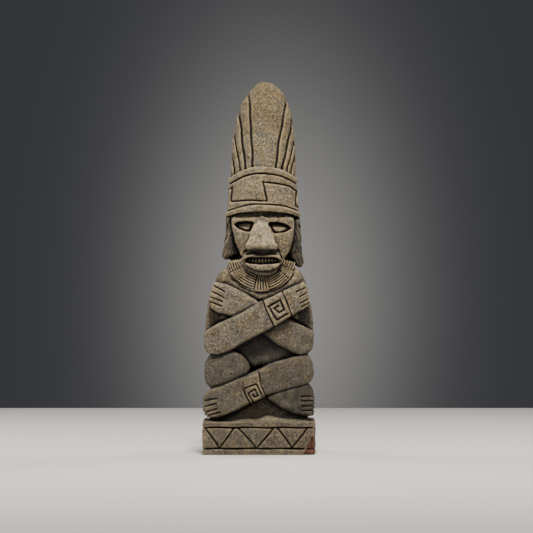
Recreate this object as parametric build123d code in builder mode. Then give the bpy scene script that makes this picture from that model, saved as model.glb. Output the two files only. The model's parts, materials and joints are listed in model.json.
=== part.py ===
"""A seated tiki figure carved from one block of stone: plinth, crossed legs and arms, masked face,
headband and feather crest. Each carved mass is a solid of its own, and neighbours meet face to face.

Millimetres. +Z is up, the figure faces -Y, and +X is the figure's own left side. The origin is the
centre of the plinth's underside. Relief depths are distances in front of the block's middle plane,
so a mass "from 10 to 48" spans y = -10 to y = -48.
"""

from build123d import *
import os

# ---------------------------------------------------------------- driving dimensions
HEIGHT = 500  # plinth's underside to the tip of the crest
PLINTH_WIDTH = 151
PLINTH_DEPTH = 108
PLINTH_HEIGHT = 45

HEAD_X = 5  # the head and its crest stand a little off the plinth's centre
CREST_X = 6
COLLAR_CENTRE = (3.5, 266)
COLLAR_RADIUS = 48
CHIN_Z = 240
BROW_Z = 326  # lower edge of the headband at its middle
BAND_TOP_Z = 385  # upper edge of the headband at its middle

# Relief depths of the front faces
FOOT_FRONT = 50
BACK_FOOT_FRONT = 46
KNEE_FRONT = 48
BELLY_FRONT = 37
FRONT_ARM_FRONT = 52
BACK_ARM_FRONT = 45
JEWEL_FRONT = 53.5  # anklet and wristband
CHEST_FRONT = 35
COLLAR_FRONT = 37.5
LIP_FRONT = 46
NOSE_FRONT = 53.5
HAIR_FRONT = 22
BACK = -46  # flat back of the seat and the trunk

GROOVE_WIDTH = 2.2
GROOVE_DEPTH = 2.0


# ---------------------------------------------------------------- helpers for the active builder
def front_plane(depth):
    """The plane parallel to the front face, at a relief depth."""
    return Plane.XZ.offset(depth)


def mass(outline, back, front, mode=Mode.ADD):
    """A prism of a straight-sided front outline, from one relief depth to another."""
    with BuildSketch(front_plane(back)) as shape:
        with BuildLine():
            Polyline(*outline, close=True)
        make_face()
    extrude(shape.sketch, amount=front - back, mode=mode)


def round_mass(outline, back, front, mode=Mode.ADD):
    """A prism of a closed curved front outline."""
    with BuildSketch(front_plane(back)) as shape:
        with BuildLine():
            Spline(*outline, periodic=True)
        make_face()
    extrude(shape.sketch, amount=front - back, mode=mode)


def soften_front(radius):
    """Rounds the edges of the face nearest the viewer."""
    fillet(faces().sort_by(Axis.Y)[0].edges(), radius)


def incise(lines, front, depth=GROOVE_DEPTH, width=GROOVE_WIDTH):
    """Cuts straight grooves into a flat front face at a relief depth."""
    with BuildSketch(front_plane(front)) as grooves:
        for line in lines:
            with BuildLine():
                Polyline(*line)
            trace(line_width=width)
    extrude(grooves.sketch, amount=-depth, mode=Mode.SUBTRACT)


def cut_by(*others):
    """Takes neighbouring masses out of the active one, so that they meet face to face."""
    for other in others:
        add(other.part, mode=Mode.SUBTRACT)


# ---------------------------------------------------------------- plinth
TRIANGLE_TOP_Z = 36.5
TRIANGLE_FOOT_Z = 8.5
FRONT_TRIANGLES = [(-72, -33), (-28, 20), (24, 65)]
SIDE_TRIANGLES = [(-48, -4), (4, 48)]


def frieze(half_width, triangles):
    """Two ruled lines and the row of inverted triangles between them, as grooves."""
    lines = [[(-half_width, z), (half_width, z)] for z in (TRIANGLE_TOP_Z, TRIANGLE_FOOT_Z)]
    for left, right in triangles:
        point = ((left + right) / 2, TRIANGLE_FOOT_Z)
        lines.append([(left, TRIANGLE_TOP_Z), point, (right, TRIANGLE_TOP_Z)])
    return lines


with BuildPart() as plinth:
    Box(PLINTH_WIDTH, PLINTH_DEPTH, PLINTH_HEIGHT, align=(Align.CENTER, Align.CENTER, Align.MIN))
    fillet(edges().filter_by(Axis.Z), 2.5)
    fillet(faces().sort_by(Axis.Z)[-1].edges(), 2)
    faces_and_rows = [
        (front_plane(PLINTH_DEPTH / 2), PLINTH_WIDTH / 2 - 4, FRONT_TRIANGLES),
        (Plane.YZ.offset(PLINTH_WIDTH / 2), PLINTH_DEPTH / 2 - 4, SIDE_TRIANGLES),
        (Plane.YZ.offset(-PLINTH_WIDTH / 2).rotated((0, 180, 0)), PLINTH_DEPTH / 2 - 4, SIDE_TRIANGLES),
    ]
    for side, half_width, row in faces_and_rows:
        with BuildSketch(side):
            for groove in frieze(half_width, row):
                with BuildLine():
                    Polyline(*groove)
                trace(line_width=GROOVE_WIDTH)
        extrude(amount=-GROOVE_DEPTH, mode=Mode.SUBTRACT)
plinth.part.label = "plinth"

# ---------------------------------------------------------------- crossed arms
with BuildPart() as wristband:
    mass([(5, 205.5), (20, 170.5), (43, 186), (31, 217)], 18, JEWEL_FRONT)
    soften_front(1.5)
    fret = [(11, 201), (23, 177), (38, 186), (30, 207), (18, 201), (26, 186), (32, 190)]
    incise([fret], JEWEL_FRONT, width=2)
wristband.part.label = "wristband"

with BuildPart() as right_forearm:
    elbow = [(-68, 167), (-73.5, 163), (-73.5, 141), (-69, 135), (-55, 133)]
    upper_side = [(5, 205.5), (-21, 191), (-38, 183), (-57, 174)]
    mass([*upper_side, *elbow, (-33, 142), (-9, 156), (20, 170.5)], 18, FRONT_ARM_FRONT)
    soften_front(4)
    cut_by(wristband)
right_forearm.part.label = "right_forearm"

with BuildPart() as right_hand:
    mass([(31, 217), (60, 231), (65, 222), (69, 200), (56, 193), (43, 186)], 18, FRONT_ARM_FRONT - 1)
    soften_front(3)
    fingers = [[(48 + 2 * n, 219 - 7 * n), (70, 228.5 - 7 * n)] for n in range(4)]
    incise(fingers, FRONT_ARM_FRONT - 1)
    cut_by(wristband)
right_hand.part.label = "right_hand"

with BuildPart() as left_hand:
    knuckles = [(-57, 190), (-65, 197), (-66.5, 212), (-61, 231)]
    mass([*knuckles, (-45, 228.5), (-28, 220), (4, 202), (-34, 184)], 18, BACK_ARM_FRONT)
    soften_front(3)
    fingers = [[(-68, 229.5 - 7 * n), (-48, 219.5 - 7 * n)] for n in range(4)]
    incise(fingers, BACK_ARM_FRONT)
    cut_by(right_forearm, wristband)
left_hand.part.label = "left_hand"

with BuildPart() as left_forearm:
    elbow = [(48, 134.5), (57, 132.5), (72, 139), (73.5, 163), (66, 168)]
    mass([(4, 162), (26, 146), *elbow, (44, 180), (20, 190)], 18, BACK_ARM_FRONT)
    soften_front(4)
    cut_by(right_forearm, wristband, right_hand)
left_forearm.part.label = "left_forearm"

with BuildPart() as right_upper_arm:
    outer = [(-73, 164), (-71, 181), (-69, 199), (-66, 212), (-61, 228), (-53, 245), (-45, 250)]
    mass([(-52, 134), (-70, 136), (-73, 142), *outer, (-46, 228)], -24, 32)
    soften_front(3)
    cut_by(right_forearm, left_hand)
right_upper_arm.part.label = "right_upper_arm"

with BuildPart() as left_upper_arm:
    outer = [(73, 160), (72, 181), (71, 195), (67, 211), (63, 228), (59, 240), (52, 249)]
    mass([(52, 134), (70, 136), (73, 142), *outer, (50, 228)], -24, 32)
    soften_front(3)
    cut_by(right_forearm, right_hand, left_forearm)
left_upper_arm.part.label = "left_upper_arm"

# ---------------------------------------------------------------- crossed legs
with BuildPart() as anklet:
    mass([(-24, 101), (-11, 69), (9, 78), (-2, 110)], 20, JEWEL_FRONT)
    soften_front(1.5)
    fret = [(-17, 92), (-10, 76), (4, 82), (-2, 97), (-11, 93), (-7, 84)]
    incise([fret], JEWEL_FRONT, width=1.8)
anklet.part.label = "anklet"

with BuildPart() as left_foot:
    sole = [(-42, 53), (-53, 49), (-70, 49), (-75, 57)]
    instep = [(-75, 78), (-64, 88), (-50, 92), (-20, 105)]
    mass([(-10, 70), *sole, *instep], 8, FOOT_FRONT)
    soften_front(3)
    toes = [[(-76, z), (-57, z + 3.5)] for z in (71.5, 64.5, 57.5)]
    toes.append([(-72, 52), (-56, 56)])
    incise(toes, FOOT_FRONT)
    cut_by(anklet)
left_foot.part.label = "left_foot"

with BuildPart() as left_leg:
    knee = [(62, 94), (70, 98), (73.5, 108), (72, 122), (66, 133), (48, 131)]
    mass([(-10, 70), (8, 79), (26, 84), *knee, (26, 125), (9, 118), (-20, 105)], 8, KNEE_FRONT)
    soften_front(3.5)
    mass([(48, 92), *knee], -42, 8)
    cut_by(anklet, left_foot, left_forearm, left_upper_arm)
left_leg.part.label = "left_leg"

with BuildPart() as right_foot:
    toe_end = [(66, 95), (72, 87), (74.5, 74), (74, 51), (62, 51)]
    mass([(8, 76), (26, 84), *toe_end, (44, 56), (26, 65)], 8, BACK_FOOT_FRONT)
    soften_front(2)
    incise([[(57, z), (76, z)] for z in (78, 72, 65, 59)], BACK_FOOT_FRONT)
    cut_by(left_leg, left_foot, anklet)
right_foot.part.label = "right_foot"

with BuildPart() as right_leg:
    knee = [(-66, 134), (-71, 124), (-73.5, 110), (-72, 98), (-66, 89), (-50, 91), (-34, 97)]
    round_mass([*knee, (-20, 104), (-11, 114), (-17, 127), (-31, 140), (-48, 142)], 8, KNEE_FRONT)
    soften_front(5)
    mass([(-48, 91), (-48, 134), (-66, 134), (-71, 124), (-73.5, 110), (-72, 98), (-66, 91)], -42, 8)
    cut_by(left_leg, left_foot, anklet, right_forearm, right_upper_arm)
right_leg.part.label = "right_leg"

# ---------------------------------------------------------------- belly
with BuildPart() as belly:
    lower_side = [(-40, 146), (-24, 131), (-8, 116), (22, 123), (54, 130)]
    mass([*lower_side, (56, 142), (24, 170), (-8, 162)], 16, BELLY_FRONT)
    soften_front(3)
    cut_by(right_leg, left_leg, anklet, right_forearm, left_forearm)
    cut_by(wristband, left_upper_arm, right_upper_arm)
belly.part.label = "belly"

# ---------------------------------------------------------------- headband
BAND_FOOT = (51, 46)  # half width and half depth at the headband's foot
BAND_HEAD = (45, 41.5)  # and at its top
BAND_FOOT_Z = 312
BAND_HEAD_Z = 390
RIM = 9  # height of the rims above and below the panel
RIM_STAND = 1.6  # how far they stand out from the panel
FLARE = (BAND_FOOT[0] - BAND_HEAD[0]) / (BAND_HEAD_Z - BAND_FOOT_Z)


def drum(inset=0):
    """The headband's tapered elliptical drum, as one solid with its surface set back by an inset."""
    with BuildSketch(Plane.XY.offset(BAND_FOOT_Z)) as foot:
        with Locations((HEAD_X, 0)):
            Ellipse(BAND_FOOT[0] - inset, BAND_FOOT[1] - inset)
    with BuildSketch(Plane.XY.offset(BAND_HEAD_Z)) as head:
        with Locations((HEAD_X, 0)):
            Ellipse(BAND_HEAD[0] - inset, BAND_HEAD[1] - inset)
    loft([foot.sketch, head.sketch])


def arch(middle_z, drop, half_width=60):
    """Three points of a shallow arch across the front, falling by drop at the headband's sides."""
    foot_z = middle_z - drop
    return [(HEAD_X - half_width, foot_z), (HEAD_X, middle_z), (HEAD_X + half_width, foot_z)]


def between(low, high):
    """Keeps what lies between two arches, seen from the front."""
    with BuildSketch(front_plane(-60)) as slice_face:
        with BuildLine():
            bottom = ThreePointArc(*low)
            top = ThreePointArc(*high)
            Line(bottom @ 0, top @ 0)
            Line(bottom @ 1, top @ 1)
        make_face()
    extrude(slice_face.sketch, amount=120, mode=Mode.INTERSECT)


BROW_ARCH = arch(BROW_Z, 11)
LOWER_RIM_ARCH = arch(BROW_Z + RIM, 12)
UPPER_RIM_ARCH = arch(BAND_TOP_Z - RIM, 24)
TOP_ARCH = arch(BAND_TOP_Z, 29)
FAR_BELOW = arch(150, 5)

with BuildPart() as lower_rim:
    drum()
    between(BROW_ARCH, LOWER_RIM_ARCH)
lower_rim.part.label = "headband_lower_rim"

with BuildPart() as band_core:
    drum(inset=RIM_STAND + GROOVE_DEPTH)

with BuildPart() as band_fret:
    with BuildSketch(front_plane(0)):
        with BuildLine():
            zigzag = [(-37, 360), (-37, 340), (11, 340), (4, 365), (30, 363), (46, 357), (47, 334)]
            Polyline((-60, 354), *zigzag, (62, 330))
        trace(line_width=GROOVE_WIDTH)
    extrude(amount=60)
    cut_by(band_core)

with BuildPart() as band_panel:
    drum(inset=RIM_STAND)
    between(LOWER_RIM_ARCH, UPPER_RIM_ARCH)
    cut_by(band_fret)
band_panel.part.label = "headband_panel"

with BuildPart() as upper_rim:
    drum()
    between(UPPER_RIM_ARCH, TOP_ARCH)
upper_rim.part.label = "headband_upper_rim"

# ---------------------------------------------------------------- face
FACE_CURVE = (56, 42)  # half width and half depth of the ellipse the mask's front follows
FACE_BACK = 12
OPENING_FLOOR = 23  # relief depth of the floor of the eye sockets and the mouth
RIGHT_JAW = [(-32, 285), (-27, 272), (-24, 264), (-21, 253), (-15, 246), (-5, 241), (5, 240)]
LEFT_JAW = [(14, 240.5), (22, 243), (26, 249), (31, 258), (37, 266), (42, 276), (45, 288), (47, 302)]
FACE_OUTLINE = [(-37, 330), (-37, 305), *RIGHT_JAW, *LEFT_JAW, (47, 330)]
VIEWER_LEFT_EYE = [(-33.5, 308), (-29, 310.5), (-16, 311.5), (-6, 310.5), (-12, 298), (-18, 298), (-27, 302)]
VIEWER_RIGHT_EYE = [(11.5, 310), (24, 310.5), (34, 308.5), (44.5, 303), (36, 297.5), (27, 295), (20, 296)]
MOUTH_TOP = [(-20.5, 259.5), (-12, 263.5), (3, 263), (21, 263.5), (30.5, 258.5)]
MOUTH = [*MOUTH_TOP, (24, 255.5), (6, 254), (-12, 255.5)]


def face_curve(low_z, high_z, inset=0):
    """An upright elliptical drum that the mask's front surface lies on, set back by an inset."""
    with BuildSketch(Plane.XY.offset(low_z)) as foot:
        with Locations((HEAD_X, 0)):
            Ellipse(FACE_CURVE[0] - inset, FACE_CURVE[1] - inset)
    extrude(foot.sketch, amount=high_z - low_z)


with BuildPart() as face:
    face_curve(CHIN_Z - 2, BROW_Z + 4)
    mass(FACE_OUTLINE, FACE_BACK, 60, mode=Mode.INTERSECT)
    between(FAR_BELOW, BROW_ARCH)
    for opening in (VIEWER_LEFT_EYE, VIEWER_RIGHT_EYE, MOUTH):
        mass(opening, OPENING_FLOOR, 60, mode=Mode.SUBTRACT)
face.part.label = "face"


def face_insert(outline, inset):
    """Fills an opening of the mask up to a surface set back from the mask's own."""
    face_curve(CHIN_Z - 2, BROW_Z + 4, inset)
    mass(outline, OPENING_FLOOR, 60, mode=Mode.INTERSECT)


with BuildPart() as right_eye:
    face_insert(VIEWER_LEFT_EYE, 6)
right_eye.part.label = "right_eye"

with BuildPart() as left_eye:
    face_insert(VIEWER_RIGHT_EYE, 6)
left_eye.part.label = "left_eye"

with BuildPart() as teeth:
    face_insert(MOUTH, 4)
    gaps = [[(-15 + 4.3 * n, 252), (-15 + 4.3 * n, 265)] for n in range(10)]
    incise(gaps, FACE_CURVE[1] - 3, depth=3, width=1)
teeth.part.label = "teeth"


def nose_section(height, left, right, front):
    """A level slice of the nose: a broad blunt wedge, buried in the mask at the back."""
    shoulder = front - 3.5
    ridge = [(1, -front), (6, -front)]
    with BuildSketch(Plane.XY.offset(height)) as section:
        with BuildLine():
            Polyline((left, -34), (left, -shoulder), *ridge, (right, -shoulder), (right, -34), close=True)
        make_face()
    return section.sketch


with BuildPart() as nose:
    bridge = nose_section(BROW_Z - 2, -1, 8, 44)
    flare = nose_section(279, -18, 24.5, NOSE_FRONT)
    underside = nose_section(274.5, -16.5, 23.5, NOSE_FRONT - 3)
    loft([bridge, flare])
    loft([flare, underside])
    for opening in (VIEWER_LEFT_EYE, VIEWER_RIGHT_EYE):
        mass(opening, OPENING_FLOOR, 60, mode=Mode.SUBTRACT)
    cut_by(face, lower_rim)
nose.part.label = "nose"

with BuildPart() as upper_lip:
    upper_side = [(-22.5, 260), (-20, 266.5), (-8, 268), (4, 266.5), (18, 268), (28, 266)]
    mass([*upper_side, (32, 259), (21, 263.5), (3, 263), (-12, 263.5)], 32, LIP_FRONT)
    soften_front(0.8)
    cut_by(face)
upper_lip.part.label = "upper_lip"

with BuildPart() as lower_lip:
    lower_side = [(26, 251.5), (14, 247), (3, 245.5), (-7, 247.5), (-17, 252.5)]
    mass([*lower_side, (-21, 258), (-12, 255.5), (6, 254), (24, 255.5), (31, 257)], 32, LIP_FRONT + 0.5)
    soften_front(0.8)
    cut_by(face)
lower_lip.part.label = "lower_lip"

# ---------------------------------------------------------------- head behind the mask, and hair
HEAD_FOOT_Z = 250
HEAD_HALF = (44, 40)

with BuildPart() as right_lappet:
    hairline = [(-27, 272), (-32, 285), (-36.5, 300), (-37, 322)]
    outer = [(-45, 319), (-45, 300), (-47, 281), (-50, 265), (-47, 260), (-36, 262), (-24, 266)]
    mass([*hairline, *outer], -12, HAIR_FRONT)
    soften_front(3)
    cut_by(face, lower_rim)
right_lappet.part.label = "right_lappet"

with BuildPart() as left_lappet:
    hairline = [(37, 266), (42, 276), (45, 288), (47, 302), (47, 320)]
    outer = [(55, 316), (56, 300), (56.5, 284), (58, 268), (59.5, 254), (56, 248.5), (49, 252)]
    mass([*hairline, *outer], -12, HAIR_FRONT)
    soften_front(3)
    cut_by(face, lower_rim)
left_lappet.part.label = "left_lappet"

with BuildPart() as head:
    with BuildSketch(Plane.XY.offset(HEAD_FOOT_Z)):
        with Locations((HEAD_X, 0)):
            Ellipse(*HEAD_HALF)
    extrude(amount=BROW_Z + 4 - HEAD_FOOT_Z)
    mass([(-60, 200), (-60, 400), (60, 400), (60, 200)], FACE_BACK, 60, mode=Mode.SUBTRACT)
    between(FAR_BELOW, BROW_ARCH)
    cut_by(left_lappet, right_lappet)
head.part.label = "head"

# ---------------------------------------------------------------- collar
# Where one panel ends and the next begins, in degrees anticlockwise from +X
COLLAR_EDGES = (188, 208, 226, 258, 284, 320, 335, 350)
COLLAR_INNER = 25
COLLAR_BACK = 22


def from_collar(radius, degrees):
    """A front-view point, by radius and angle about the collar's centre."""
    spoke = Vector(radius, 0).rotate(Axis.Z, degrees)
    return (COLLAR_CENTRE[0] + spoke.X, COLLAR_CENTRE[1] + spoke.Y)


def collar_panel(number):
    """One sector of the fan: even panels have ruled arcs, odd panels have spokes."""
    start, end = COLLAR_EDGES[number], COLLAR_EDGES[number + 1]
    quarters = [start + (end - start) * step / 4 for step in range(5)]
    with BuildPart() as panel:
        with BuildSketch(front_plane(COLLAR_BACK)):
            with BuildLine():
                inner = ThreePointArc(*[from_collar(COLLAR_INNER, angle) for angle in quarters[::2]])
                outer = ThreePointArc(*[from_collar(COLLAR_RADIUS, angle) for angle in quarters[::2]])
                Line(inner @ 0, outer @ 0)
                Line(inner @ 1, outer @ 1)
            make_face()
        extrude(amount=COLLAR_FRONT - COLLAR_BACK)
        if number % 2 == 0:
            arcs = [[from_collar(radius, angle) for angle in quarters] for radius in (30, 35, 40, 44.5)]
            incise(arcs, COLLAR_FRONT, depth=1.6, width=1.3)
        else:
            spokes = [[from_collar(24, angle), from_collar(46, angle)] for angle in quarters[1:-1]]
            incise(spokes, COLLAR_FRONT, depth=1.6, width=1.3)
        mass(FACE_OUTLINE, COLLAR_BACK, COLLAR_FRONT, mode=Mode.SUBTRACT)
        cut_by(upper_lip, lower_lip, left_lappet, right_lappet)
        cut_by(left_hand, right_hand, wristband, right_forearm, left_upper_arm, right_upper_arm)
    panel.part.label = f"collar_panel_{number + 1}"
    return panel


collar = [collar_panel(number) for number in range(len(COLLAR_EDGES) - 1)]

# ---------------------------------------------------------------- trunk and seat
SEAT_TOP_Z = 134

with BuildPart() as torso:
    flanks = [(-54, 150), (-56, 200), (-52, 240), (-40, HEAD_FOOT_Z)]
    other_flanks = [(46, HEAD_FOOT_Z), (56, 240), (58, 200), (54, 150)]
    mass([(-50, 134), *flanks, *other_flanks, (50, 134)], BACK, 18)
    fillet(faces().sort_by(Axis.Y)[-1].edges().filter_by(Axis.X, reverse=True), 8)
    chest = [(-50, 180), (-54, 228), (-44, HEAD_FOOT_Z), (50, HEAD_FOOT_Z), (56, 236), (52, 180)]
    mass(chest, 18, CHEST_FRONT)
    cut_by(right_upper_arm, left_upper_arm, right_forearm, left_forearm, right_hand, left_hand, wristband)
    cut_by(belly, left_leg, right_leg, head, face, left_lappet, right_lappet, *collar)
torso.part.label = "torso"

with BuildPart() as seat_block:
    mass([(-66, PLINTH_HEIGHT), (66, PLINTH_HEIGHT), (66, SEAT_TOP_Z), (-66, SEAT_TOP_Z)], BACK, 8)
    fillet(edges().filter_by(Axis.Z).sort_by(Axis.Y)[-2:], 10)
    cut_by(left_leg, right_leg, left_upper_arm, right_upper_arm)
seat_block.part.label = "seat_block"

with BuildPart() as base_slope:
    with BuildSketch(Plane.YZ):
        with BuildLine():
            Polyline((-44, PLINTH_HEIGHT), (-34, 51), (-8, 80), (-8, PLINTH_HEIGHT), close=True)
        make_face()
    extrude(amount=66, both=True)
    cut_by(left_leg, right_leg, left_foot, right_foot, anklet)
base_slope.part.label = "base_slope"

# ---------------------------------------------------------------- feather crest
# Each section is (height, centre x, half width, half depth).
CREST_SECTIONS = [
    (358, 6, 45, 41),
    (402, 6, 45, 39),
    (420, 6.2, 43.5, 37),
    (440, 6.5, 40.5, 34),
    (458, 7.2, 36.5, 30.5),
    (472, 7.6, 32, 26),
    (482, 8.3, 26.5, 22),
    (490, 9, 20, 17),
    (496, 8.8, 13.5, 11),
    (HEIGHT, 8.6, 5, 4),
]
CREST_SPLIT = -6  # the feathers' backs, and the front of the plain back half
SKY = arch(HEIGHT + 30, 5)
# The grooves between feathers, from the headband up, as seen from the front.
RIGHT_GROOVES = [
    [(-9, 340), (-9, 408), (-11, 432), (-12, 462), (-15, 482), (-20, 530)],
    [(-18, 340), (-18, 384), (-22, 414), (-24, 438), (-27, 461), (-40, 530)],
    [(-25, 340), (-25, 382), (-30, 408), (-32, 427), (-36, 446), (-60, 530)],
    [(-31.5, 340), (-32, 379), (-34, 390), (-38, 408), (-75, 530)],
]
LEFT_GROOVES = [
    [(24, 340), (24, 386), (25, 408), (29, 432), (34, 458), (37, 478), (42, 530)],
    [(31, 340), (31, 383), (37, 410), (41, 429), (44, 446), (60, 530)],
    [(38, 340), (38, 383), (41, 395), (45.5, 411), (75, 530)],
    [(42, 340), (43, 378), (47, 398), (90, 530)],
]
OUTSIDE_RIGHT = [(-80, 340), (-80, 530)]
OUTSIDE_LEFT = [(95, 340), (95, 530)]


def crest_blank(inset=0):
    """The whole crest, built up of tapering lengths and set back by an inset."""
    rings = []
    for height, centre, half_width, half_depth in CREST_SECTIONS:
        with BuildSketch(Plane.XY.offset(height)) as ring:
            with Locations((centre, 0)):
                Ellipse(half_width - inset, half_depth - inset)
        rings.append(ring.sketch)
    loft(rings, ruled=True)
    between(TOP_ARCH, SKY)


def feather(name, left_edge, right_edge, inset):
    """The part of the crest's front between two grooves."""
    with BuildPart() as plume:
        crest_blank(inset)
        mass([*left_edge, *reversed(right_edge)], CREST_SPLIT, 60, mode=Mode.INTERSECT)
    plume.part.label = name
    return plume


crest = [feather("crest_center_feather", RIGHT_GROOVES[0], LEFT_GROOVES[0], 0)]
right_edges = [*RIGHT_GROOVES, OUTSIDE_RIGHT]
left_edges = [*LEFT_GROOVES, OUTSIDE_LEFT]
for number in range(4):
    inset = 0.3 * (number + 1)
    for side, edges in (("right", right_edges), ("left", left_edges)):
        crest.append(feather(f"crest_{side}_feather_{number + 1}", edges[number], edges[number + 1], inset))

with BuildPart() as crest_back:
    crest_blank()
    mass([(-90, 300), (-90, 600), (90, 600), (90, 300)], CREST_SPLIT, 60, mode=Mode.SUBTRACT)
crest_back.part.label = "crest_back"

# ---------------------------------------------------------------- files
body = [plinth, base_slope, seat_block, right_leg, left_leg, right_foot, left_foot, anklet, belly, torso]
arms = [right_upper_arm, left_upper_arm, right_forearm, left_forearm, right_hand, left_hand, wristband]
mask = [head, face, nose, upper_lip, lower_lip, teeth, right_eye, left_eye, right_lappet, left_lappet]
headdress = [lower_rim, band_panel, upper_rim, crest_back, *crest]
os.makedirs("parts", exist_ok=True)
for node in [*body, *arms, *collar, *mask, *headdress]:
    export_step(node.part, f"parts/{node.part.label}.step")
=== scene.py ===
"""Looks of the seated stone figure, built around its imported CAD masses.

The masses are read as distance fields on one grid of points, worn and rounded as groups, joined into
one stone, carved with the ornament, roughened, and then divided again, so that each CAD mass is
replaced by a closed piece of stone whose surface runs on into its neighbours' without a step.

Carving is described in millimetres, as seen from the front: x to the figure's left, z up, y away from
the viewer. Meshes, lights and the camera are in metres, in the frame's own axes.
"""

import json
import math

import bpy
import numpy as np
import openvdb
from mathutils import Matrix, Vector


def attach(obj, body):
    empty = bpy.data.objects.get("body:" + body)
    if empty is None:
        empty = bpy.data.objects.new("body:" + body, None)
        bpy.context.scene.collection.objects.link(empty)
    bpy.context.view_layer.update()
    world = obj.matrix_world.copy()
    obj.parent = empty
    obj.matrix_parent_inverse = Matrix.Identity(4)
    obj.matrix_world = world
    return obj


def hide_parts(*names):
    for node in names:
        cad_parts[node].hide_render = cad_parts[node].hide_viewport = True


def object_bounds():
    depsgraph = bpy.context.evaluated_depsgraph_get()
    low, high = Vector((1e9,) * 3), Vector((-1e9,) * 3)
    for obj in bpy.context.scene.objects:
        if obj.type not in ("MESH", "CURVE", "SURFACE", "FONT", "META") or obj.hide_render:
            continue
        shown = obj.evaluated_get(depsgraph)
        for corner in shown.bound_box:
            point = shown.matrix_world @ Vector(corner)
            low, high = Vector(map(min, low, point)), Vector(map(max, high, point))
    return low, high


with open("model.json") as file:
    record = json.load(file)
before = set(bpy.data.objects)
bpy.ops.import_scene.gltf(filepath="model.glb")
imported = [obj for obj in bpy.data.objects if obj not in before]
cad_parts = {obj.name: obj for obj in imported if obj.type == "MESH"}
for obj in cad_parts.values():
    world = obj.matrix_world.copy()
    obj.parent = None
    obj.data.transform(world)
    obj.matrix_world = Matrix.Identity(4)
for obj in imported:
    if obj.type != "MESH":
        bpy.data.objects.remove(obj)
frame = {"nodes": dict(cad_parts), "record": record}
cad_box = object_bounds()

MM = 0.001  # metres
VOXEL = 0.8  # mm between grid points
REACH = 6.4  # mm: distances are kept up to this far from a surface
SEAL = 0.5  # mm: cracks between masses up to twice this wide are closed
SKIRT = 1.2  # mm that each piece runs on under its neighbours
GRID = openvdb.createLinearTransform(voxelSize=VOXEL)
rng = np.random.default_rng(7)

COLLAR_PANELS = [f"collar_panel_{number}" for number in range(1, 8)]
SIDE_FEATHERS = [f"crest_{side}_feather_{number}" for side in ("right", "left") for number in range(1, 5)]
FEATHERS = ["crest_back", "crest_center_feather", *SIDE_FEATHERS]

# Nodes worn together as one mass, and the radius in mm over which that mass is rounded
GROUPS = [
    (["plinth"], 1.0),
    (["base_slope"], 1.5),
    (["torso", "seat_block", "right_upper_arm", "left_upper_arm"], 3.0),
    (["belly"], 3.0),
    (["right_leg"], 4.0),
    (["left_leg", "anklet", "left_foot"], 2.0),
    (["right_foot"], 2.2),
    (["left_hand"], 2.0),
    (["left_forearm"], 2.5),
    (["right_forearm", "wristband", "right_hand"], 1.6),
    (COLLAR_PANELS, 0.8),
    (["head"], 3.0),
    (["right_lappet", "left_lappet"], 2.0),
    (["face", "nose"], 1.3),
    (["upper_lip", "lower_lip"], 1.0),
    (["teeth"], 0.8),
    (["right_eye", "left_eye"], 1.0),
    (["headband_lower_rim"], 1.4),
    (["headband_panel"], 1.2),
    (["headband_upper_rim"], 1.4),
    (FEATHERS, 1.6),
]


# ---------------------------------------------------------------- distance fields
def index_box(low, high, margin=REACH):
    """The grid's whole index range around a box in mm."""
    return np.floor((low - margin) / VOXEL).astype(int), np.ceil((high + margin) / VOXEL).astype(int) + 1


def distances(points, faces, low, high):
    """Signed distances in mm from a closed mesh, negative inside, over an index range."""
    shape = {"triangles": faces} if faces.shape[1] == 3 else {"quads": faces}
    grid = openvdb.FloatGrid.createLevelSetFromPolygons(
        points, transform=GRID, halfWidth=REACH / VOXEL, **shape)
    values = np.empty(tuple(high - low), np.float32)
    grid.copyToArray(values, ijk=tuple(int(i) for i in low))
    return values


def surface(values, low, level=0.0):
    """The quads, in mm, of the surface where a field has one value."""
    grid = openvdb.FloatGrid(REACH)
    grid.transform = GRID
    grid.copyFromArray(np.ascontiguousarray(values), ijk=tuple(int(i) for i in low))
    return grid.convertToQuads(isovalue=level)


def sealed(values, low):
    """The field of the same solid with its inner cracks closed."""
    points, quads = surface(values, low, SEAL)
    return distances(points, quads, low, low + values.shape) + SEAL


def blurred(values, radius):
    """A Gaussian blur over a radius in mm."""
    reach = max(1, math.ceil(2.5 * radius / VOXEL))
    weights = np.exp(-0.5 * (np.arange(-reach, reach + 1) * VOXEL / radius) ** 2)
    weights = (weights / weights.sum()).astype(np.float32)
    for axis in range(3):
        margin = [(0, 0)] * 3
        margin[axis] = (reach, reach)
        padded = np.pad(values, margin, mode="edge")
        count = values.shape[axis]
        values = np.zeros_like(values)
        for step, weight in enumerate(weights):
            window = [slice(None)] * 3
            window[axis] = slice(step, step + count)
            values += weight * padded[tuple(window)]
    return values


def mesh_of(node):
    """A CAD node's points in mm and its triangles."""
    mesh = frame["nodes"][node].data
    mesh.calc_loop_triangles()
    points = np.empty(len(mesh.vertices) * 3, np.float32)
    mesh.vertices.foreach_get("co", points)
    triangles = np.empty(len(mesh.loop_triangles) * 3, np.int32)
    mesh.loop_triangles.foreach_get("vertices", triangles)
    return points.reshape(-1, 3) / MM, triangles.reshape(-1, 3).astype(np.uint32)


LOW, HIGH = index_box(np.array(cad_box[0]) / MM, np.array(cad_box[1]) / MM)
SIZE = tuple(HIGH - LOW)


def window_of(low, high):
    """The slices of the whole grid for an index range."""
    return tuple(slice(a, b) for a, b in zip(low - LOW, high - LOW))


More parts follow.
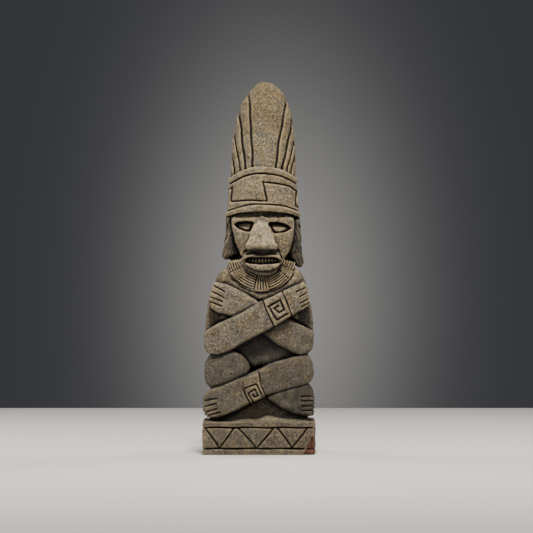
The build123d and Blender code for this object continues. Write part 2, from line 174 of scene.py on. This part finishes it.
names = sorted(frame["nodes"])
ranges = {}
fields = {}
nearest = np.full(SIZE, REACH, np.float32)
second = np.full(SIZE, REACH, np.float32)
owner = np.full(SIZE, -1, np.int8)
for number, name in enumerate(names):
    points, triangles = mesh_of(name)
    low, high = index_box(points.min(axis=0), points.max(axis=0))
    low, high = np.maximum(low, LOW), np.minimum(high, HIGH)
    ranges[name] = (low, high)
    fields[name] = distances(points, triangles, low, high)
    window = window_of(low, high)
    closer = fields[name] < nearest[window]
    second[window] = np.where(closer, nearest[window], np.minimum(second[window], fields[name]))
    owner[window][closer] = number
    nearest[window] = np.minimum(nearest[window], fields[name])

# ---------------------------------------------------------------- worn masses joined into one stone
CREASE = 1.4  # mm over which two masses run into each other


def worn_mass(members, radius):
    """One group's field, sealed and rounded, with its index range."""
    low = np.min([ranges[name][0] for name in members], axis=0)
    high = np.max([ranges[name][1] for name in members], axis=0)
    values = np.full(tuple(high - low), REACH, np.float32)
    for name in members:
        start, end = ranges[name]
        part = tuple(slice(a, b) for a, b in zip(start - low, end - low))
        values[part] = np.minimum(values[part], fields[name])
    if len(members) > 1:
        values = sealed(values, low)
    return blurred(values, radius), low, high


stone = np.full(SIZE, REACH, np.float32)
for members, radius in GROUPS:
    values, low, high = worn_mass(members, radius)
    window = window_of(low, high)
    closeness = np.maximum(CREASE - np.abs(stone[window] - values), 0)
    stone[window] = np.minimum(stone[window], values) - closeness**2 / (4 * CREASE)
stone = sealed(stone, LOW)

# ---------------------------------------------------------------- noise
AXES = [(np.arange(SIZE[axis]) + LOW[axis]) * VOXEL for axis in range(3)]
X, Y, Z = (AXES[0][:, None, None], AXES[1][None, :, None], AXES[2][None, None, :])


def noise(scale):
    """Smooth random values about 0, with blobs of a size in mm, over the whole grid."""
    counts = [int(SIZE[axis] * VOXEL / scale) + 3 for axis in range(3)]
    values = rng.standard_normal(counts).astype(np.float32)
    for axis in range(3):
        place = np.arange(SIZE[axis]) * VOXEL / scale
        cell = place.astype(int)
        part = place - cell
        part = (part * part * (3 - 2 * part)).astype(np.float32)
        shape = [1, 1, 1]
        shape[axis] = -1
        part = part.reshape(shape)
        values = np.take(values, cell, axis=axis) * (1 - part) + np.take(values, cell + 1, axis=axis) * part
    return values


def smooth_step(values, start, end):
    """0 before start, 1 after end, with an even turn between."""
    part = np.clip((values - start) / (end - start), 0, 1)
    return part * part * (3 - 2 * part)


# ---------------------------------------------------------------- carving tools
def line_gap(lines, across, up):
    """Distance in mm from each point of a plane to the nearest of some open polylines."""
    gap = np.full(np.broadcast(across, up).shape, 1e3, np.float32)
    for line in lines:
        for (x0, z0), (x1, z1) in zip(line, line[1:]):
            length = math.hypot(x1 - x0, z1 - z0)
            along = ((across - x0) * (x1 - x0) + (up - z0) * (z1 - z0)) / length**2
            along = np.clip(along, 0, 1)
            gap = np.minimum(gap, np.hypot(across - x0 - along * (x1 - x0), up - z0 - along * (z1 - z0)))
    return gap


def territory(nodes):
    """The grid window around some nodes and a mask of the points that belong to them."""
    low = np.min([ranges[name][0] for name in nodes], axis=0)
    high = np.max([ranges[name][1] for name in nodes], axis=0)
    window = window_of(low, high)
    numbers = [names.index(name) for name in nodes]
    return window, np.isin(owner[window], numbers)


def carve(nodes, lines, cut, front_only=True, side=False):
    """Cuts grooves of a depth and width along polylines, seen from the front or the side, into some nodes."""
    depth, width = cut
    window, mask = territory(nodes)
    x, y, z = X[window[0]], Y[:, window[1]], Z[:, :, window[2]]
    if side:
        gap = line_gap(lines, y + WOBBLE * np.sin(z / 6), z + WOBBLE * np.sin(y / 9))
    else:
        gap = line_gap(lines, x + WOBBLE * np.sin(z / 6 + 1), z + WOBBLE * np.sin(x / 7))
        if front_only:
            mask = mask & (y < 0)
    groove = depth * smooth_step(width / 2 - gap, 0, width / 2)
    stone[window] += np.where(mask, groove, 0)


def press(nodes, amount):
    """Sinks the surfaces of some nodes by an amount in mm: a number, or a function of x, y and z."""
    window, mask = territory(nodes)
    x, y, z = X[window[0]], Y[:, window[1]], Z[:, :, window[2]]
    stone[window] += np.where(mask, amount(x, y, z) if callable(amount) else amount, 0)


WOBBLE = 0.35  # mm by which a hand-cut line strays

# Depth and width in mm of the cuts
PLINTH_CUT = (3.0, 3.8)
CRACK_CUT = (2.4, 2.2)
FINGER_CUT = (3.0, 3.4)
TOE_CUT = (2.8, 3.2)
WRIST_EDGE_CUT = (2.4, 3.6)
WRIST_SPIRAL_CUT = (3.6, 4.8)
ANKLE_EDGE_CUT = (2.2, 3.2)
ANKLE_SPIRAL_CUT = (3.2, 3.8)
LID_CUT = (1.2, 2.4)
CHEEK_FOLD_CUT = (1.8, 5.0)
TOOTH_GAP_CUT = (3.6, 3.4)
COLLAR_CUT = (2.2, 2.6)
RIM_CUT = (3.0, 3.8)
FRET_CUT = (3.2, 4.2)
INNER_FEATHER_CUT = (5.0, 5.0)
OUTER_FEATHER_CUT = (3.4, 3.6)

# ---------------------------------------------------------------- plinth
LINE_TOP, LINE_FOOT = 36.5, 8.5
FLAKE_LEAN = 0.42  # mm that the flake's long edge moves to the figure's left for each mm up
front_triangles = [[(-72, LINE_TOP), (-52.5, 9), (-33, LINE_TOP)], [(-28, LINE_TOP), (-3, 9), (20, LINE_TOP)],
                   [(24, LINE_TOP), (44, 10), (65, LINE_TOP)]]
carve(["plinth"], [[(-74, LINE_TOP), (71, LINE_TOP)], [(-74, LINE_FOOT), (60, LINE_FOOT)], *front_triangles],
      PLINTH_CUT)
side_triangles = [[(-48, LINE_TOP), (-26, 9), (-4, LINE_TOP)], [(4, LINE_TOP), (26, 9), (48, LINE_TOP)]]
carve(["plinth"], [[(-50, LINE_TOP), (50, LINE_TOP)], [(-50, LINE_FOOT), (50, LINE_FOOT)], *side_triangles],
      PLINTH_CUT, side=True)
carve(["plinth"], [[(70.5, 23), (70, 9)]], CRACK_CUT)  # a crack beside the broken corner


def broken_corner(x, y, z):
    """A flake lost from the foot of the front's left-hand edge."""
    return 1.8 * smooth_step(x - FLAKE_LEAN * z, 59, 61) * smooth_step(-z, -26, -23) * smooth_step(-y, 40, 50)


press(["plinth"], broken_corner)

# ---------------------------------------------------------------- hands and feet
carve(["right_hand"], [[(50, 218), (62, 223)], [(54.5, 211.5), (65, 217)], [(55.5, 203), (68, 209.5)],
                       [(57.5, 198), (69, 204)]], FINGER_CUT)
carve(["left_hand"], [[(-63, 227), (-47, 218)], [(-66, 219), (-48, 210)], [(-67, 211), (-49, 204)],
                      [(-68, 205), (-50, 198)]], FINGER_CUT)
carve(["left_foot"], [[(-76, 72), (-56, 75)], [(-76, 64), (-57, 68)], [(-75, 56), (-57, 61)],
                      [(-70, 52), (-53, 56)]], TOE_CUT)
carve(["right_foot"], [[(57, z), (76, z)] for z in (78, 72, 65, 59)], TOE_CUT)

# ---------------------------------------------------------------- wristband and anklet
carve(["wristband", "right_forearm", "right_hand"],
      [[(5, 205.5), (20, 170.5)], [(30.5, 218), (41, 194), (44, 186)]], WRIST_EDGE_CUT)
carve(["wristband"], [[(12.3, 198), (28, 206.2), (34, 193.2), (27, 190), (20.7, 195.5), (25, 198.2)],
                      [(14.7, 196), (23.7, 180), (39.4, 188.5)]], WRIST_SPIRAL_CUT)
carve(["anklet", "left_foot", "left_leg"],
      [[(-20.5, 86.5), (-12, 68)], [(0, 110), (1.3, 97.7), (4, 90), (10, 78)]], ANKLE_EDGE_CUT)
carve(["anklet"], [[(-20, 88.3), (-4, 94.3)], [(-2.7, 93), (4.7, 78.3)],
                   [(-8, 71), (-14, 82), (-5.4, 87.5), (-0.7, 79), (-6, 76.8), (-8, 80.3)]], ANKLE_SPIRAL_CUT)


# ---------------------------------------------------------------- face
def bump(x, z, center_x, center_z, half_width, half_height):
    """1 at a centre, easing to 0 at an ellipse around it, seen from the front."""
    reach = ((x - center_x) / half_width) ** 2 + ((z - center_z) / half_height) ** 2
    return np.clip(1 - reach, 0, 1) ** 1.5


def sculpted_face(x, y, z):
    """Hollows (positive) and swellings (negative) of the mask."""
    under_brow = 5.0 * smooth_step(z, 313, 322)
    under_nose = 3.6 * bump(x, z, 4, 270.5, 28, 7)
    under_lip = 2.6 * bump(x, z, 4, 244, 20, 4)
    cheeks = -1.4 * bump(x, z, -22, 288, 13, 15) - 1.4 * bump(x, z, 31, 287, 13, 15)
    return under_brow + under_nose + under_lip + cheeks


def eyeball(x, y, z, edge):
    """A lens leaning back under the upper lid, with a deep channel round it."""
    channel = 4.0 * smooth_step(-line_gap([edge], x, z), -3.6, -1.2)
    return channel - 1.0 + 4.0 * smooth_step(z, 303, 308)


RIGHT_EYE_EDGE = [(-33.5, 308), (-29, 310.5), (-16, 311.5), (-6, 310.5), (-12, 298), (-18, 298), (-27, 302),
                  (-33.5, 308)]
LEFT_EYE_EDGE = [(11.5, 310), (24, 310.5), (34, 308.5), (44.5, 303), (36, 297.5), (27, 295), (20, 296),
                 (11.5, 310)]
TOOTH_GAPS = [-15 + 4.4 * number for number in range(10)]  # x of the gaps between the teeth

press(["face"], sculpted_face)
press(["nose"], lambda x, y, z: 6.0 * smooth_step(z, 301, 318))
for eye, edge in (("right_eye", RIGHT_EYE_EDGE), ("left_eye", LEFT_EYE_EDGE)):
    press([eye], lambda x, y, z: eyeball(x, y, z, edge))
    carve(["face", eye], [edge], LID_CUT)
carve(["face"], [[(-23, 264), (-20, 270), (-15, 275)], [(31, 262), (28, 269), (25, 274)]], CHEEK_FOLD_CUT)
carve(["teeth"], [[(gap, 252), (gap, 265)] for gap in TOOTH_GAPS], TOOTH_GAP_CUT)
press(["teeth"], lambda x, y, z: 4.0 * smooth_step(z, 260, 262.5) + 3.0 * smooth_step(-z, -258, -256))
# Hair: sunk beside the face, with fine slanting waves
press(["right_lappet"],
      lambda x, y, z: (4 * smooth_step(x, -47, -38) + 0.4 * np.sin(x * 1.4 - z / 2)) * (y < 0))
press(["left_lappet"],
      lambda x, y, z: (4 * smooth_step(-x, -57, -48) + 0.4 * np.sin(x * 1.4 + z / 2)) * (y < 0))

# ---------------------------------------------------------------- collar
COLLAR = (3.5, 266)
PANEL_EDGES = (188, 208, 226, 258, 284, 320, 335, 350)  # degrees from the figure's left, anticlockwise
SPOKES = (5, 5, 6)  # strips in each of the three panels with spokes


def spoke(radius, degrees):
    """A point of the collar by radius and angle."""
    angle = math.radians(degrees)
    return (COLLAR[0] + radius * math.cos(angle), COLLAR[1] + radius * math.sin(angle))


for number in range(7):
    start, end = PANEL_EDGES[number], PANEL_EDGES[number + 1]
    lines = [[spoke(22, start), spoke(47, start)]]
    if number % 2 == 0:
        for radius in np.arange(27, 47, 3.3):
            lines.append([spoke(radius, start + (end - start) * step / 4) for step in range(5)])
    else:
        strips = SPOKES[number // 2]
        for step in range(1, strips):
            degrees = start + (end - start) * step / strips
            lines.append([spoke(22, degrees), spoke(46, degrees)])
    carve(COLLAR_PANELS, lines, COLLAR_CUT)


# ---------------------------------------------------------------- headband
def arch_line(middle, drop):
    """A shallow arch across the front, at a height in the middle and falling by drop 60 mm to each side."""
    return [(x, middle - drop * ((x - 5) / 60) ** 2) for x in range(-60, 75, 8)]


FRET = [(-60, 354), (-42, 355), (-36, 358.5), (-37, 339), (-21, 339.5), (11, 339), (8.5, 350), (5, 364.5),
        (15, 363.5), (26, 361.5), (41, 358.5), (50, 353), (49, 333), (62, 325)]
band = ["headband_lower_rim", "headband_panel", "headband_upper_rim"]
press(["headband_lower_rim"], -1.0)
press(["headband_panel"], -0.7)
press(["headband_upper_rim"], -0.3)
carve(band, [arch_line(334.5, 13), arch_line(376, 24)], RIM_CUT, front_only=False)
carve(["headband_panel"], [FRET], FRET_CUT)

# ---------------------------------------------------------------- crest
INNER_GROOVES = [
    [(-9, 372), (-9, 408), (-11, 432), (-12, 462), (-14.5, 488)],
    [(-18, 372), (-18, 384), (-22, 414), (-24, 438), (-27.5, 464)],
    [(22, 372), (23, 386), (25, 408), (29, 432), (34, 458), (37, 482)],
    [(31, 372), (31, 383), (37, 410), (41, 429), (44.5, 448)],
]
OUTER_GROOVES = [
    [(-25, 372), (-25, 382), (-30, 408), (-33, 430)],
    [(-32, 366), (-33, 384), (-37, 406)],
    [(37, 366), (38, 383), (42, 398), (47, 420)],
    [(42, 362), (43, 378), (47, 398)],
]
TIPS = {"right": (484, 462, 428, 404), "left": (480, 448, 420, 398)}  # heights of the side feathers' tips
for side, tips in TIPS.items():
    for number, tip in enumerate(tips, 1):
        press([f"crest_{side}_feather_{number}"],
              lambda x, y, z: 0.2 + 0.2 * number + 2.4 * smooth_step(z, tip - 10, tip))
carve(FEATHERS, INNER_GROOVES, INNER_FEATHER_CUT)
carve(FEATHERS, OUTER_GROOVES, OUTER_FEATHER_CUT)

# ---------------------------------------------------------------- wear, roughness and pits
UNEVENNESS = [(14.0, 0.55), (5.0, 0.22), (2.2, 0.10)]  # size and height of the swells and grain, in mm
EDGE = 0.42  # crowding below which the stone is an edge, and chips
CHIP_SIZE, CHIP_DEPTH = 7.0, 7
PIT_SIZE, PIT_DEPTH = 2.6, 0.9
PIT_RARITY = 1.5  # noise above which there is a pit

solid = (stone < 0).astype(np.float32)
crowding = blurred(solid, 3.0)  # 0.5 on a flat face, less on an edge, more in a crease
stone += sum(height * noise(size) for size, height in UNEVENNESS)
stone += np.maximum(EDGE - crowding, 0) * np.maximum(noise(CHIP_SIZE) + 0.4, 0) * CHIP_DEPTH
stone += np.maximum(noise(PIT_SIZE) - PIT_RARITY, 0) * PIT_DEPTH
stone = np.maximum(stone, -Z)  # the underside stays flat

# How crowded each point is and how much sky it sees, used by the material for painted shade and grime in
# creases and under overhangs, and for the pale edges
solid = (stone < 0).astype(np.float32)
fine_crowding = blurred(solid, 1.6)
broad_crowding = blurred(solid, 5.0)


SKY_STEPS = (4, 7, 11, 17, 25, 36)  # mm along each direction at which the sky may be blocked
SKY_AZIMUTHS = range(0, 360, 36)  # degrees
SKY_ELEVATIONS = (12, 40, 68)  # degrees
COARSE = 2  # grid points per step of the sky test


def open_sky(points):
    """The share of the sky above that points in mm see: about half on a plain wall, none underneath."""
    blocked = stone[::COARSE, ::COARSE, ::COARSE] < 0
    limit = np.array(blocked.shape) - 1
    seen = np.zeros(len(points), np.float32)
    directions = [(azimuth, elevation) for azimuth in SKY_AZIMUTHS for elevation in SKY_ELEVATIONS]
    for azimuth, elevation in directions:
        turn, rise = math.radians(azimuth), math.radians(elevation)
        level = math.cos(rise)
        direction = np.array((math.sin(turn) * level, math.cos(turn) * level, math.sin(rise)))
        clear = np.ones(len(points), bool)
        for distance in SKY_STEPS:
            cell = ((points + direction * distance) / VOXEL - LOW) / COARSE + 0.5
            cell = np.clip(cell.astype(np.int32), 0, limit)
            clear &= ~blocked[cell[:, 0], cell[:, 1], cell[:, 2]]
        seen += clear
    return seen / len(directions)


# How much darker than the rest some masses are coloured, or paler where negative: partly stains, partly
# painted shade and painted light, as on the belly under the arms, the sunk lappets and the bright nose
STAINS_SHADE_AND_LIGHT = {
    "belly": 0.95, "torso": -0.10, "base_slope": -0.12, "seat_block": 0.35, "right_leg": 0.56,
    "left_leg": 0.54, "right_foot": 0.80, "left_foot": 0.40, "anklet": 0.18, "right_lappet": 0.80,
    "left_lappet": 1.00, "head": 0.35, "right_upper_arm": 0.35, "left_upper_arm": 0.45,
    "left_forearm": 0.44, "right_forearm": 0.15, "right_hand": 0.10, "plinth": 0.27, "face": 0.05,
    "nose": -0.60, "left_eye": -0.55, "right_eye": -0.55, "teeth": -0.80, "headband_panel": -0.10,
    "headband_lower_rim": -0.12, "headband_upper_rim": -0.12,
}
# Added to the share of the sky that some sheltered masses see, so that less painted shade and grime lie on
# them
LESS_SHADE_AND_GRIME = {"base_slope": 0.32, "left_eye": 0.16, "right_eye": 0.16, "teeth": 0.16, "torso": 0.16}


# ---------------------------------------------------------------- pieces
def sampled(values, points):
    """A field's values at points in mm, by linear interpolation."""
    place = points / VOXEL - LOW
    cell = np.clip(place.astype(int), 0, np.array(SIZE) - 2)
    part = place - cell
    total = np.zeros(len(points), np.float32)
    for corner in np.ndindex(2, 2, 2):
        weight = np.prod(np.where(corner, part, 1 - part), axis=1)
        total += weight * values[tuple((cell + corner).T)]
    return total


def add_mesh(name, points, quads):
    """A smooth-shaded mesh object made from quads in mm."""
    mesh = bpy.data.meshes.new(name)
    mesh.vertices.add(len(points))
    mesh.vertices.foreach_set("co", (points * MM).astype(np.float32).ravel())
    mesh.loops.add(quads.size)
    mesh.loops.foreach_set("vertex_index", quads.astype(np.int32).ravel())
    mesh.polygons.add(len(quads))
    mesh.polygons.foreach_set("loop_start", np.arange(0, quads.size, 4, dtype=np.int32))
    mesh.update(calc_edges=True)
    mesh.validate()
    mesh.shade_smooth()
    piece = bpy.data.objects.new(name, mesh)
    bpy.context.scene.collection.objects.link(piece)
    return piece


def outward(points, quads):
    """The quads wound so that their normals point out of the solid."""
    a, b, c = (points[quads[:, corner]] for corner in (0, 1, 2))
    volume = np.einsum("ij,ij->", a, np.cross(b, c))
    return quads if volume > 0 else quads[:, ::-1]


def stone_piece(node):
    """The part of the stone that belongs to one node, as a closed piece."""
    low, high = ranges[node]
    window = window_of(low, high)
    others = np.where(owner[window] == names.index(node), second[window], nearest[window])
    beyond = (fields[node] - others) / 2
    values = np.maximum(stone[window] + np.maximum(beyond, 0), beyond - SKIRT)
    points, quads = surface(values, low)
    piece = add_mesh(f"stone_{node}", points, outward(points, quads))
    # Crowding and open sky drive the painted shade and grime; the per-mass values are stains, painted shade
    # and painted light
    layers = {
        "fine": sampled(fine_crowding, points),
        "broad": sampled(broad_crowding, points),
        "sky": open_sky(points) + LESS_SHADE_AND_GRIME.get(node, 0.0),
        "stain_shade_light": np.full(len(points), STAINS_SHADE_AND_LIGHT.get(node, 0.0), np.float32),
    }
    for label, values in layers.items():
        layer = piece.data.attributes.new(label, "FLOAT", "POINT")
        layer.data.foreach_set("value", values.astype(np.float32))
    return piece


# ---------------------------------------------------------------- material
class Shading:
    """Builds a node tree with short calls."""

    def __init__(self, material):
        material.use_nodes = True
        self.nodes, self.links = material.node_tree.nodes, material.node_tree.links
        self.shader = self.nodes["Principled BSDF"]

    def connect(self, value, socket):
        """Links a socket, or sets a number or colour."""
        if isinstance(value, bpy.types.NodeSocket):
            self.links.new(value, socket)
        else:
            socket.default_value = value

    def attribute(self, name):
        node = self.nodes.new("ShaderNodeAttribute")
        node.attribute_name = name
        return node.outputs["Fac"]

    def place(self):
        """Position in the object's own frame, in metres."""
        return self.nodes.new("ShaderNodeTexCoord").outputs["Object"]

    def noise(self, place, size, detail=3.0, roughness=0.6):
        """Noise with features of a size in mm."""
        node = self.nodes.new("ShaderNodeTexNoise")
        self.connect(place, node.inputs["Vector"])
        node.inputs["Scale"].default_value = 1 / (size * MM)
        node.inputs["Detail"].default_value = detail
        node.inputs["Roughness"].default_value = roughness
        return node.outputs["Fac"]

    def cells(self, place, size):
        """Distance to the nearest of scattered points about a size in mm apart."""
        node = self.nodes.new("ShaderNodeTexVoronoi")
        self.connect(place, node.inputs["Vector"])
        node.inputs["Scale"].default_value = 1 / (size * MM)
        return node.outputs["Distance"]

    def step(self, value, start, end, top=1.0):
        """0 to top as a value goes from start to end, eased."""
        node = self.nodes.new("ShaderNodeMapRange")
        node.interpolation_type = "SMOOTHSTEP"
        self.connect(value, node.inputs["Value"])
        node.inputs["From Min"].default_value = start
        node.inputs["From Max"].default_value = end
        node.inputs["To Max"].default_value = top
        return node.outputs["Result"]

    def math(self, operation, first, second):
        node = self.nodes.new("ShaderNodeMath")
        node.operation = operation
        self.connect(first, node.inputs[0])
        self.connect(second, node.inputs[1])
        return node.outputs[0]

    def mix(self, amount, first, second, blend="MIX"):
        node = self.nodes.new("ShaderNodeMix")
        node.data_type = "RGBA"
        node.blend_type = blend
        self.connect(amount, node.inputs["Factor"])
        self.connect(first, node.inputs["A"])
        self.connect(second, node.inputs["B"])
        return node.outputs["Result"]

    def axis(self, place, name):
        node = self.nodes.new("ShaderNodeSeparateXYZ")
        self.connect(place, node.inputs[0])
        return node.outputs[name]

    def bump(self, height, distance, strength, normal=None):
        node = self.nodes.new("ShaderNodeBump")
        node.inputs["Distance"].default_value = distance * MM
        node.inputs["Strength"].default_value = strength
        self.connect(height, node.inputs["Height"])
        if normal is not None:
            self.connect(normal, node.inputs["Normal"])
        return node.outputs["Normal"]


WARM_STONE = (0.185, 0.130, 0.068, 1)
GREY_STONE = (0.140, 0.126, 0.100, 1)
PALE_STONE = (0.40, 0.330, 0.215, 1)
# Pale colour of worn edges, partly painted highlights
WORN_AND_HIGHLIT_STONE = (0.36, 0.275, 0.150, 1)
DARK_FLECK = (0.040, 0.033, 0.028, 1)
OLIVE_TINT = (0.115, 0.112, 0.058, 1)
VIOLET_TINT = (0.135, 0.112, 0.118, 1)
OCHRE_STAIN = (0.18, 0.105, 0.040, 1)
# Dark earth colour, for stains and for painted shade low down and on shaded masses
EARTH_STAIN_AND_SHADE = (0.036, 0.033, 0.026, 1)
RED_CHIP = (0.115, 0.045, 0.026, 1)
CREST_TINT = (0.63, 0.59, 0.48, 1)
# Near black, for painted shade with some grime in creases and under overhangs
SHADE_AND_GRIME = (0.008, 0.0075, 0.008, 1)


def stone_material(name, paleness, shade_and_dirt):
    """Speckled weathered stone, with painted shade and grime in its creases and under its overhangs, painted
    shade low down, and pale worn edges that are partly painted highlights.
    """
    material = bpy.data.materials.new(name)
    s = Shading(material)
    place = s.place()
    across, up, back = s.axis(place, "X"), s.axis(place, "Z"), s.axis(place, "Y")
    fine, broad, sky, stain_shade_light = (s.attribute(label) for label in ("fine", "broad", "sky", "stain_shade_light"))

    greyness = s.math("SUBTRACT", s.noise(place, 22, 4), s.step(up, 0.20, 0.38, 0.12))
    color = s.mix(s.step(greyness, 0.34, 0.56), WARM_STONE, GREY_STONE)
    color = s.mix(s.step(s.noise(place, 45, 3), 0.52, 0.66, 0.6), color, OCHRE_STAIN)
    color = s.mix(s.step(s.noise(place, 4.5, 3), 0.48, 0.58, 0.65), color, OLIVE_TINT)
    color = s.mix(s.step(s.noise(place, 5.0, 3), 0.49, 0.59, 0.6), color, VIOLET_TINT)
    color = s.mix(paleness, color, PALE_STONE)
    # Paler patches where the per-mass value is negative: rubbed stone, and partly painted light, as on the
    # nose
    rubbed_and_lit = s.math("MULTIPLY", stain_shade_light, s.step(s.noise(place, 9, 3), 0.36, 0.60, -1.7))
    color = s.mix(rubbed_and_lit, color, PALE_STONE)

    speckle = s.noise(place, 2.5, 2, 0.6)
    color = s.mix(s.step(speckle, 0.49, 0.66, 0.74), color, PALE_STONE)
    flecks = s.noise(place, 2.8, 2, 0.6)
    color = s.mix(s.step(flecks, 0.49, 0.64, 0.72), color, DARK_FLECK)
    pores = s.cells(place, 4.5)
    color = s.mix(s.step(pores, 0.22, 0.10, 0.8), color, DARK_FLECK)

    # Pale edges: worn stone, and partly painted highlights along the edges
    worn_and_highlit = s.math("MULTIPLY", s.step(fine, 0.485, 0.36), s.step(s.noise(place, 8), 0.32, 0.58, 0.75))
    color = s.mix(worn_and_highlit, color, WORN_AND_HIGHLIT_STONE)

    color = s.mix(s.step(up, 0.37, 0.50), color, CREST_TINT, "MULTIPLY")

    # Painted shade, darker towards the bottom, added to the per-mass stains and painted shade, in patches
    low = s.step(up, 0.30, 0.05, 0.22)
    patchy = s.math("ADD", s.step(s.noise(place, 12, 4), 0.30, 0.65, 0.4), 0.6)
    color = s.mix(s.math("MULTIPLY", s.math("ADD", stain_shade_light, low), patchy), color, EARTH_STAIN_AND_SHADE)
    # Painted shade, with some grime: near black in crowded hollows, under overhangs that hide the sky, and in
    # fine creases and grooves
    shade = s.math("MAXIMUM", s.step(broad, 0.54, 0.72), s.step(sky, 0.38, 0.06))
    color = s.mix(s.math("MULTIPLY", s.math("MULTIPLY", shade, patchy), shade_and_dirt), color, SHADE_AND_GRIME)
    color = s.mix(s.step(fine, 0.54, 0.64, shade_and_dirt), color, SHADE_AND_GRIME)

    flake = s.step(s.math("SUBTRACT", across, s.math("MULTIPLY", up, FLAKE_LEAN)), 0.0585, 0.0605)
    flake = s.math("MULTIPLY", flake, s.step(up, 0.027, 0.024))
    flake = s.math("MULTIPLY", flake, s.step(back, -0.046, -0.050))
    flake = s.math("MULTIPLY", flake, s.step(s.noise(place, 4, 3), 0.36, 0.48))
    color = s.mix(flake, color, RED_CHIP)

    s.connect(color, s.shader.inputs["Base Color"])
    s.connect(s.math("ADD", s.math("MULTIPLY", speckle, 0.25), 0.66), s.shader.inputs["Roughness"])
    s.shader.inputs["Specular IOR Level"].default_value = 0.3
    grain = s.bump(s.noise(place, 1.8, 4, 0.7), 0.9, 1.0)
    pitted = s.bump(s.step(pores, 0.08, 0.26), 0.9, 0.8, grain)
    s.connect(pitted, s.shader.inputs["Normal"])
    return material


slot_of = {part["node"]: part["material_slot"] for part in frame["record"]["subparts"]}
# The second number is the paleness; the third scales the painted shade and grime
materials = {
    "carved_stone": stone_material("weathered_stone", 0.0, 0.97),
    "pale_stone": stone_material("rubbed_pale_stone", 0.40, 0.80),
}
for name in names:
    piece = stone_piece(name)
    piece.data.materials.append(materials[slot_of[name]])
    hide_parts(name)
    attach(piece, "root")


# ---------------------------------------------------------------- floor, light and camera
FLOOR_BACK = 1.257  # the floor ends this far behind the figure
FLOOR_REACH = 3.0  # and this far to each side and in front


def plain_material(name, color, roughness):
    """A one-colour material for the floor."""
    material = bpy.data.materials.new(name)
    material.use_nodes = True
    shader = material.node_tree.nodes["Principled BSDF"]
    shader.inputs["Base Color"].default_value = (*color, 1)
    shader.inputs["Roughness"].default_value = roughness
    return material


corners = [(-FLOOR_REACH, -FLOOR_REACH, 0), (FLOOR_REACH, -FLOOR_REACH, 0),
           (FLOOR_REACH, FLOOR_BACK, 0), (-FLOOR_REACH, FLOOR_BACK, 0)]
floor_mesh = bpy.data.meshes.new("floor")
floor_mesh.from_pydata(corners, [], [(0, 1, 2, 3)])
floor = bpy.data.objects.new("floor", floor_mesh)
bpy.context.scene.collection.objects.link(floor)
floor_mesh.materials.append(plain_material("floor_paint", (0.74, 0.73, 0.72), 0.6))


def area_light(name, place, target, size, power, color=(1, 1, 1)):
    """A square lamp at a place, facing a target."""
    data = bpy.data.lights.new(name, "AREA")
    data.size = size
    data.energy = power
    data.color = color
    lamp = bpy.data.objects.new(name, data)
    lamp.location = place
    direction = np.array(target) - np.array(place)
    lamp.rotation_euler = (
        math.acos(-direction[2] / np.linalg.norm(direction)),
        0,
        math.atan2(direction[1], direction[0]) - math.pi / 2,
    )
    bpy.context.scene.collection.objects.link(lamp)


area_light("key", (0.06, -0.62, 1.40), (0, 0, 0.25), 0.20, 32, (1.0, 0.95, 0.87))
area_light("fill", (-1.4, -1.4, 0.7), (0, 0, 0.25), 1.2, 7, (0.88, 0.94, 1.0))
area_light("left_edge", (-0.9, 0.6, 0.9), (0, 0, 0.3), 0.5, 9, (1.0, 0.95, 0.88))
area_light("right_edge", (0.8, 0.6, 1.1), (0, 0, 0.35), 0.4, 10, (1.0, 0.93, 0.84))

GLOW = (0.0029, 1.0, -0.0113)  # direction in which the surroundings are brightest
GLOW_WIDTH, GLOW_HEIGHT = 0.028, 0.052  # how fast they darken away from it, in radians
DARK_GREY = (0.041, 0.042, 0.048, 1)
GLOW_GREY = (0.300, 0.294, 0.280, 1)


def room_world():
    """Dark grey surroundings with a soft glow straight behind the figure."""
    world = bpy.data.worlds.new("room")
    bpy.context.scene.world = world
    world.use_nodes = True
    nodes, links = world.node_tree.nodes, world.node_tree.links

    def vector_math(operation, first, second):
        node = nodes.new("ShaderNodeVectorMath")
        node.operation = operation
        links.new(first, node.inputs[0])
        if isinstance(second, bpy.types.NodeSocket):
            links.new(second, node.inputs[1])
        else:
            node.inputs[1].default_value = second
        return node

    direction = nodes.new("ShaderNodeTexCoord").outputs["Generated"]
    away = vector_math("SUBTRACT", direction, GLOW).outputs[0]
    scaled = vector_math("MULTIPLY", away, (1 / GLOW_WIDTH, 1, 1 / GLOW_HEIGHT)).outputs[0]
    squared = vector_math("DOT_PRODUCT", scaled, scaled).outputs["Value"]
    halved = nodes.new("ShaderNodeMath")
    halved.operation = "MULTIPLY"
    halved.inputs[1].default_value = -0.5
    links.new(squared, halved.inputs[0])
    fall = nodes.new("ShaderNodeMath")
    fall.operation = "EXPONENT"
    links.new(halved.outputs[0], fall.inputs[0])
    mix = nodes.new("ShaderNodeMix")
    mix.data_type = "RGBA"
    mix.inputs["A"].default_value = DARK_GREY
    mix.inputs["B"].default_value = GLOW_GREY
    links.new(fall.outputs[0], mix.inputs["Factor"])
    links.new(mix.outputs["Result"], nodes["Background"].inputs["Color"])


room_world()

# Far off and level, with a long lens, so that the front is seen almost flat
camera_data = bpy.data.cameras.new("camera")
camera_data.lens = 200
camera_data.sensor_width = 36
camera = bpy.data.objects.new("camera", camera_data)
camera.location = (0.010, -4.0, 0.2513)
camera.rotation_euler = (math.pi / 2, 0, 0)
bpy.context.scene.collection.objects.link(camera)
bpy.context.scene.camera = camera
